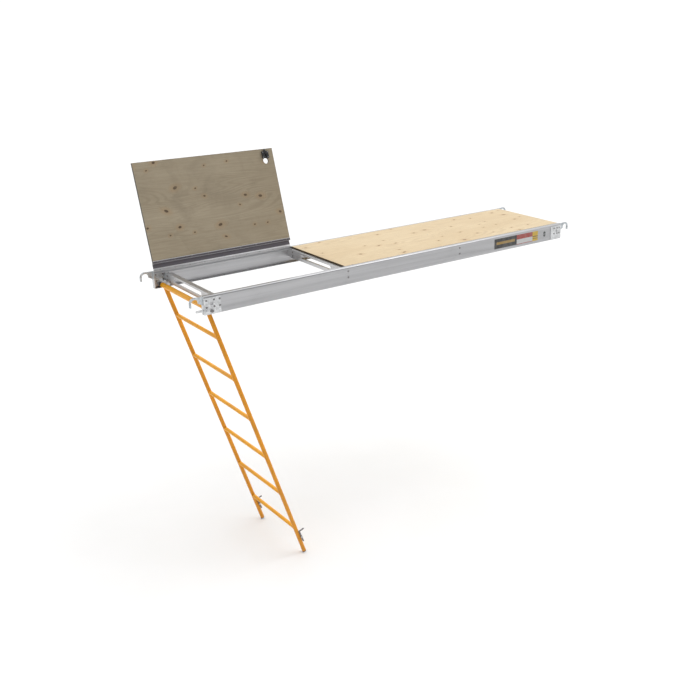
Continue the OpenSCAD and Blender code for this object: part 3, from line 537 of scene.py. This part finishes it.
def break_edges(obj, width_mm):
    weld = obj.modifiers.new("Weld", "WELD")
    weld.merge_threshold = 0.002 * MM
    bevel = obj.modifiers.new("Bevel", "BEVEL")
    bevel.width = width_mm * MM
    bevel.segments = 2
    bevel.limit_method = "ANGLE"
    bevel.angle_limit = math.radians(38)
    bevel.harden_normals = True


for name, node in nodes.items():
    if slot_of[name] in EDGE and name not in NO_BEVEL:
        break_edges(node, EDGE[slot_of[name]])


# ---- Mesh helpers ----

def finish_mesh(bm, name, slot, body, material=None, smooth=40):
    """Makes a piece from a bmesh in the row frame: shaded smooth below an angle, riding on a body."""
    bmesh.ops.recalc_face_normals(bm, faces=bm.faces)
    mesh = bpy.data.meshes.new(name)
    bm.to_mesh(mesh)
    bm.free()
    mesh.shade_smooth()
    mesh.set_sharp_from_angle(angle=math.radians(smooth))
    obj = bpy.data.objects.new(name, mesh)
    bpy.context.scene.collection.objects.link(obj)
    mesh.materials.append(material or mats[slot])
    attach(obj, body)
    return obj


def axis_matrix(origin, axis):
    """Local +Z along axis, from origin."""
    turn = Vector(axis).normalized().to_track_quat("Z", "Y")
    return Matrix.Translation(origin) @ turn.to_matrix().to_4x4()


def join_rings(bm, rings):
    """Skins between rings that have the same number of vertices."""
    for a, b in zip(rings, rings[1:]):
        for i in range(len(a)):
            j = (i + 1) % len(a)
            bm.faces.new((a[i], a[j], b[j], b[i]))


def add_rings(bm, rings, at):
    """Joins rings of points into a closed skin; a ring of one point closes an end."""
    made = [[bm.verts.new(at @ Vector(p)) for p in ring] for ring in rings]
    for a, b in zip(made, made[1:]):
        n = max(len(a), len(b))
        for i in range(n):
            j = (i + 1) % n
            if len(a) == 1:
                bm.faces.new((a[0], b[i], b[j]))
            elif len(b) == 1:
                bm.faces.new((a[i], a[j], b[0]))
            else:
                bm.faces.new((a[i], a[j], b[j], b[i]))
    return made


def circle(r, z, n=24):
    return [(r * math.cos(math.tau * i / n), r * math.sin(math.tau * i / n), z) for i in range(n)]


def lathe(bm, profile, at, n=24):
    """A closed turned shape; profile is (radius, height) pairs from one end of the axis to the other."""
    add_rings(bm, [[(0, 0, z)] if r == 0 else circle(r, z, n) for r, z in profile], at)


def islands(name):
    """The separate solids in a CAD node, each as a list of points."""
    bm = bmesh.new()
    bm.from_mesh(nodes[name].data)
    bmesh.ops.remove_doubles(bm, verts=bm.verts, dist=0.002 * MM)
    left, out = set(bm.verts), []
    while left:
        todo, part = [left.pop()], []
        while todo:
            v = todo.pop()
            part.append(v.co.copy())
            for e in v.link_edges:
                w = e.other_vert(v)
                if w in left:
                    left.remove(w)
                    todo.append(w)
        out.append(part)
    bm.free()
    return sorted(out, key=lambda pts: tuple(sum(pts, Vector())))


def turned_solid(points, axis):
    """A turned CAD solid's centre line: (start, direction towards its head, length, head radius)."""
    along = Vector(axis)
    flat = [p - along * p.dot(along) for p in points]
    centre = Vector([(min(q[i] for q in flat) + max(q[i] for q in flat)) / 2 for i in range(3)])
    lo, hi = min(p.dot(along) for p in points), max(p.dot(along) for p in points)
    far = [(q - centre).length for q in flat]
    radius = max(far)
    widest = [p.dot(along) for p, r in zip(points, far) if r > radius - 0.05 * MM]
    if sum(widest) / len(widest) > (lo + hi) / 2:
        return centre + along * lo, along, hi - lo, radius
    return centre + along * hi, -along, hi - lo, radius


def dome(r, h, z, steps=5):
    """Profile of a dome of radius r and height h, from its rim at z to its crown."""
    turn = [math.pi / 2 * i / steps for i in range(steps + 1)]
    return [(r * math.cos(a) if i < steps else 0, z + h * math.sin(a)) for i, a in enumerate(turn)]


# ---- Rivets: round heads, turned shanks and set tails ----

def rivet_piece(name, axis, shank, head_h, tail_r=0.0, tail_h=0.0):
    """Round rivets for a CAD node; axis is a direction, or a function of one rivet's points."""
    bm = bmesh.new()
    for points in islands(name):
        start, along, length, r = turned_solid(points, axis(points) if callable(axis) else axis)
        rim = length - head_h
        profile = [(0, 0)]
        if tail_r:
            profile += [(tail_r * 0.55, 0), (tail_r * 0.9, tail_h * 0.22), (tail_r, tail_h * 0.6),
                        (tail_r * 0.95, tail_h)]
        profile += [(shank, tail_h), (shank, rim), (r * 0.985, rim), (r, rim + 0.12 * head_h)]
        profile += dome(r * 0.985, head_h * 0.82, rim + 0.18 * head_h)
        lathe(bm, profile, axis_matrix(start, along))
    return finish_mesh(bm, name + "_round", "rivet", "deck")


def rivet_axis(points):
    """Rivets run along X in the crossmember webs and along Y in the rails."""
    size = [max(p[i] for p in points) - min(p[i] for p in points) for i in range(3)]
    return (1, 0, 0) if abs(size[1] - size[2]) < 0.3 * MM else (0, 1, 0)


THROUGH_RIVET = {"shank": 4 * MM, "head_h": 2.6 * MM, "tail_r": 5.6 * MM, "tail_h": 2 * MM}
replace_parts(rivet_piece("bracket_rivets", (0, 1, 0), **THROUGH_RIVET), "bracket_rivets")
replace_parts(rivet_piece("beam_rivets", rivet_axis, **THROUGH_RIVET), "beam_rivets")
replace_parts(rivet_piece("hinge_rivets", (0, 0, 1), shank=2.5 * MM, head_h=1.4 * MM), "hinge_rivets")


# ---- Screws: countersunk heads with a cross recess ----

def cross(r, arm, z):
    """Outline of a cross with arms of half-width arm, 12 points."""
    out = []
    for k in range(4):
        c, s = math.cos(math.pi / 2 * k), math.sin(math.pi / 2 * k)
        for x, y in ((arm, -arm), (r, -arm), (r, arm)):
            out.append((x * c - y * s, x * s + y * c, z))
    return out


def screw_piece(name, axis, body, head_r, head_h, shank, flat_head=False):
    """Screws for a CAD node, with tapered points; flat_head gives the head a step under its rim."""
    bm = bmesh.new()
    for points in islands(name):
        start, along, top, _ = turned_solid(points, axis)
        spin = Matrix.Rotation(rng.uniform(0, math.tau), 4, "Z")
        at = axis_matrix(start, along) @ spin
        tip = [(0, 0, 2 * MM)], circle(shank * 0.45, 2 * MM), circle(shank, 6 * MM)
        neck = circle(shank, top - head_h)
        step = [circle(head_r, top - head_h)] if flat_head else []
        rim = [circle(head_r, top - 0.25 * MM), circle(head_r - 0.25 * MM, top)]
        outer = add_rings(bm, [*tip, neck, *step, *rim], at)[-1]
        wide, deep = 0.60 * head_r, 0.55 * head_h
        upper = [bm.verts.new(at @ Vector(p)) for p in cross(wide, 0.17 * head_r, top)]
        lower = [bm.verts.new(at @ Vector(p)) for p in cross(wide * 0.6, 0.12 * head_r, top - deep)]
        edges = []
        for loop in (outer, upper):
            for a, b in zip(loop, loop[1:] + loop[:1]):
                edges.append(bm.edges.get((a, b)) or bm.edges.new((a, b)))
        bmesh.ops.bridge_loops(bm, edges=edges)
        join_rings(bm, [upper, lower])
        bm.faces.new(lower)
    return finish_mesh(bm, name + "_cross", "zinc", body)


deck_screws = screw_piece("deck_screws", (0, 0, 1), "deck", 4.6 * MM, 2.6 * MM, 2.4 * MM)
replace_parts(deck_screws, "deck_screws")
latch_screws = screw_piece("latch_screws", HATCH_UP, "hatch", 3.6 * MM, 2.8 * MM, 2 * MM, flat_head=True)
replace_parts(latch_screws, "latch_screws")


# ---- Pivot bolts and nuts: chamfered hexagons with washers ----

HEX_STEPS = 48
HEX_FLAT = math.cos(math.pi / 6)


def round_ring(r, z):
    return circle(r, z, HEX_STEPS)


def hexagon(across, z, drop=0.0):
    """Outline of a hexagon of corner radius across; drop lowers the corners as a chamfer does."""
    flat = across * HEX_FLAT
    out = []
    for i in range(HEX_STEPS):
        a = math.tau * i / HEX_STEPS
        r = flat / math.cos((a + math.pi / 6) % (math.pi / 3) - math.pi / 6)
        out.append((r * math.cos(a), r * math.sin(a), z - drop * (r - flat)))
    return out


def hex_rings(across, z0, z1):
    return [hexagon(across * 0.99, z0), hexagon(across, z0 + 0.3 * MM), hexagon(across, z1, 0.62),
            round_ring(across * HEX_FLAT * 0.97, z1)]


def bolts():
    """Hex bolts with a chamfered end and a shallow recess in the head."""
    shank, head_h, recess = 6 * MM, 7 * MM, 0.5 * MM
    bm = bmesh.new()
    for points in islands("pivot_bolts"):
        start, along, length, r = turned_solid(points, (0, 1, 0))
        head, top = length - head_h, length - 0.1 * MM
        rings = [[(0, 0, 0)], round_ring(5.0 * MM, 0), round_ring(shank, 1.2 * MM), round_ring(shank, head)]
        rings += hex_rings(r, head, top)
        rings += [round_ring(r * 0.55, top), round_ring(r * 0.5, length - recess), [(0, 0, length - recess)]]
        add_rings(bm, rings, axis_matrix(start, along))
    return finish_mesh(bm, "pivot_bolts_hex", "zinc", "deck", mats["dark_steel"], 28)


def nuts():
    """A washer and a hex nut on each bolt, as one ring-shaped skin round the bore."""
    bore_r, washer_r, washer_t = 6.05 * MM, 11 * MM, 2.5 * MM
    nut_r, nut_top = 10.4 * MM, 11.9 * MM
    bm = bmesh.new()
    for points in islands("pivot_nuts"):
        out = -1 if points[0].y < 0 else 1
        base = max(p.y * out for p in points) * out
        at = axis_matrix(Vector((LADDER_PIVOT.x, base, LADDER_PIVOT.z)), (0, -out, 0))
        rings = [round_ring(bore_r, 0), round_ring(washer_r - 0.4 * MM, 0), round_ring(washer_r, 0.35 * MM),
                 round_ring(washer_r, washer_t - 0.3 * MM), round_ring(nut_r, washer_t)]
        rings += hex_rings(nut_r, washer_t + 0.1 * MM, nut_top)
        rings += [round_ring(6.9 * MM, nut_top), round_ring(bore_r, nut_top - 0.5 * MM)]
        made = [[bm.verts.new(at @ Vector(p)) for p in ring] for ring in rings]
        join_rings(bm, made + made[:1])
    return finish_mesh(bm, "pivot_nuts_hex", "zinc", "deck", mats["dark_steel"], 28)


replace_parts(bolts(), "pivot_bolts")
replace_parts(nuts(), "pivot_nuts")


# ---- Tubes swept along a path: springs and weld beads ----

def sweep(bm, path, radius, n=10, closed=False):
    """A round wire along points; radius is a number or one value for each point."""
    count = len(path)
    radii = radius if isinstance(radius, list) else [radius] * count
    rings, normal = [], None
    for i, p in enumerate(path):
        a = path[i - 1] if (closed or i > 0) else path[i]
        b = path[(i + 1) % count] if (closed or i < count - 1) else path[i]
        t = (b - a).normalized()
        if normal is None:
            normal = t.orthogonal()
        normal = (normal - t * normal.dot(t)).normalized()
        side = t.cross(normal)
        rings.append([bm.verts.new(p + radii[i] * (normal * math.cos(u) + side * math.sin(u)))
                      for u in (math.tau * k / n for k in range(n))])
    join_rings(bm, rings)
    if closed:
        # The frame may come round turned, so the last ring joins the nearest of the first ring's points
        last, first = rings[-1], rings[0]
        k = min(range(n), key=lambda s: sum((last[i].co - first[(i + s) % n].co).length for i in range(n)))
        join_rings(bm, [last, first[k:] + first[:k]])
    else:
        bm.faces.new(rings[0][::-1])
        bm.faces.new(rings[-1])


def coil(start, axis, radius, length, turns, legs=0.0):
    """Points of a helical spring along axis, with straight legs if legs is set."""
    at = axis_matrix(start, axis)
    steps = int(turns * 20)
    points = []
    for i in range(steps + 1):
        a = math.tau * turns * i / steps
        points.append(at @ Vector((radius * math.cos(a), radius * math.sin(a), length * i / steps)))
    if legs:
        first = (points[0] - points[1]).normalized()
        last = (points[-1] - points[-2]).normalized()
        points = [points[0] + first * legs] + points + [points[-1] + last * legs]
    return points


def lock_springs():
    """A torsion spring with two straight legs round each wind lock's pin."""
    wire, turns, leg = 0.8 * MM, 3.5, 9 * MM
    by_side = {}
    for points in islands("wind_lock_springs"):
        by_side.setdefault(points[0].y < 0, []).extend(points)
    bm = bmesh.new()
    for points in by_side.values():
        lo = Vector([min(p[i] for p in points) for i in range(3)])
        hi = Vector([max(p[i] for p in points) for i in range(3)])
        start = Vector(((lo.x + hi.x) / 2, lo.y + wire, (lo.z + hi.z) / 2))
        radius = (hi.x - lo.x) / 2 - wire
        sweep(bm, coil(start, (0, 1, 0), radius, hi.y - lo.y - 2 * wire, turns, leg), wire)
    return finish_mesh(bm, "wind_lock_springs_coil", "spring_steel", "deck", smooth=60)


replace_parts(lock_springs(), "wind_lock_springs")


def latch_coil():
    """The latch bolt's helical spring, just inside the CAD spring."""
    wire, turns, end_gap, side_gap = 0.45 * MM, 5, 0.1 * MM, 0.05 * MM
    points = [p for part in islands("latch_spring") for p in part]
    along = HATCH_REAR
    lo, hi = min(p.dot(along) for p in points), max(p.dot(along) for p in points)
    flat = [p - along * p.dot(along) for p in points]
    centre = sum(flat, Vector()) / len(flat)
    radius = max((q - centre).length for q in flat) - wire - side_gap
    start = centre + along * (lo + wire + end_gap)
    bm = bmesh.new()
    sweep(bm, coil(start, along, radius, hi - lo - 2 * (wire + end_gap), turns), wire, 8)
    return finish_mesh(bm, "latch_spring_coil", "spring_steel", "hatch", smooth=60)


# ---- Weld beads where the rungs meet the stiles ----

RUNG_COUNT = 6
RUNG_R = 12.5 * MM
BEAD_R = 1.5 * MM
BEAD_GAP = 0.3 * MM
BEAD_STEPS = 56
RIPPLES = 18


def down_ladder(name):
    """The place of a rung along the ladder's own Z axis."""
    lo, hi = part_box(name)
    return (LADDER.inverted() @ ((lo + hi) / 2)).z


def bead(bm, stile_y, stile_r, z):
    """A rippled bead along the saddle where a rung meets a stile, on the side of mid width."""
    side = -1 if stile_y > 0 else 1
    r = RUNG_R + BEAD_GAP
    path, radii = [], []
    for i in range(BEAD_STEPS):
        a = math.tau * i / BEAD_STEPS
        x = r * math.cos(a)
        depth = math.sqrt(max(stile_r ** 2 - x * x, (0.18 * stile_r) ** 2))
        path.append(LADDER @ Vector((x, stile_y + side * (depth + BEAD_GAP), z + r * math.sin(a))))
        radii.append(BEAD_R * (1 + 0.13 * math.sin(RIPPLES * a) + rng.uniform(-0.07, 0.07)))
    sweep(bm, path, radii, 8, closed=True)


def welds():
    lo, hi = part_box("ladder_stile_front")
    stile_r = (hi.y - lo.y) / 2
    stile_y = abs(lo.y + hi.y) / 2
    bm = bmesh.new()
    for i in range(1, RUNG_COUNT + 1):
        z = down_ladder("rung_%d" % i)
        for side in (-1, 1):
            bead(bm, side * stile_y, stile_r, z)
    return finish_mesh(bm, "rung_weld_beads", "ladder_paint", "ladder", mats["weld"], smooth=70)


welds()
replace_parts(latch_coil(), "latch_spring")


# ---- Stage, light and camera ----

FLOOR_HALF = 150.0
FLOOR_GAP = 4 * MM


def floor():
    """A plain pale floor just under the ladder's feet."""
    g = Graph("pale_floor", Roughness=0.85)
    soft = g.noise(g.place(), scale=1.1, detail=3.0)
    g.set("Base Color", g.mix(g.span(soft, 0.3, 0.7), (0.905, 0.905, 0.90), (0.925, 0.925, 0.925)))
    bm = bmesh.new()
    bmesh.ops.create_grid(bm, x_segments=8, y_segments=8, size=FLOOR_HALF)
    mesh = bpy.data.meshes.new("floor")
    bm.to_mesh(mesh)
    bm.free()
    obj = bpy.data.objects.new("floor", mesh)
    obj.location.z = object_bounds()[0].z - FLOOR_GAP
    bpy.context.scene.collection.objects.link(obj)
    mesh.materials.append(g.mat)
    obj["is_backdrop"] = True


def surroundings():
    """A white studio, brighter above and behind the deck than in front of it."""
    world = bpy.data.worlds.new("studio")
    bpy.context.scene.world = world
    world.use_nodes = True
    tree = world.node_tree
    tree.nodes.clear()
    out = tree.nodes.new("ShaderNodeOutputWorld")
    back = tree.nodes.new("ShaderNodeBackground")
    coord = tree.nodes.new("ShaderNodeTexCoord")
    dot = tree.nodes.new("ShaderNodeVectorMath")
    dot.operation = "DOT_PRODUCT"
    dot.inputs[1].default_value = Vector((0.45, 0.45, 0.77)).normalized()
    ramp = tree.nodes.new("ShaderNodeMapRange")
    ramp.interpolation_type = "SMOOTHSTEP"
    for key, value in (("From Min", -0.30), ("From Max", 0.90), ("To Min", 0.18), ("To Max", 1.30)):
        ramp.inputs[key].default_value = value
    back.inputs["Color"].default_value = (1, 1, 1, 1)
    tree.links.new(coord.outputs["Generated"], dot.inputs[0])
    tree.links.new(dot.outputs["Value"], ramp.inputs["Value"])
    tree.links.new(ramp.outputs[0], back.inputs["Strength"])
    tree.links.new(back.outputs[0], out.inputs["Surface"])


def key_light():
    """A broad soft sun from above, the plain end and a little in front."""
    data = bpy.data.lights.new("soft_key", "SUN")
    data.energy = 0.85
    data.angle = math.radians(44)
    obj = bpy.data.objects.new("soft_key", data)
    obj.rotation_euler = Vector((0.50, -0.22, 0.84)).to_track_quat("Z", "Y").to_euler()
    bpy.context.scene.collection.objects.link(obj)


def camera():
    """A camera fitted to the deck's ends, the hatch's corners and the rungs, with a shifted lens."""
    data = bpy.data.cameras.new("camera")
    data.lens = 48.62
    data.sensor_width = 36
    data.shift_x = -0.1143
    data.shift_y = -0.0286
    data.clip_end = 500
    obj = bpy.data.objects.new("camera", data)
    obj.location = (-2.1928, -5.1735, 1.6512)
    obj.rotation_euler = [math.radians(a) for a in (70.56, 0, -39.09)]
    bpy.context.scene.collection.objects.link(obj)
    bpy.context.scene.camera = obj


floor()
surroundings()
key_light()
camera()
bpy.context.scene.view_settings.view_transform = "Standard"
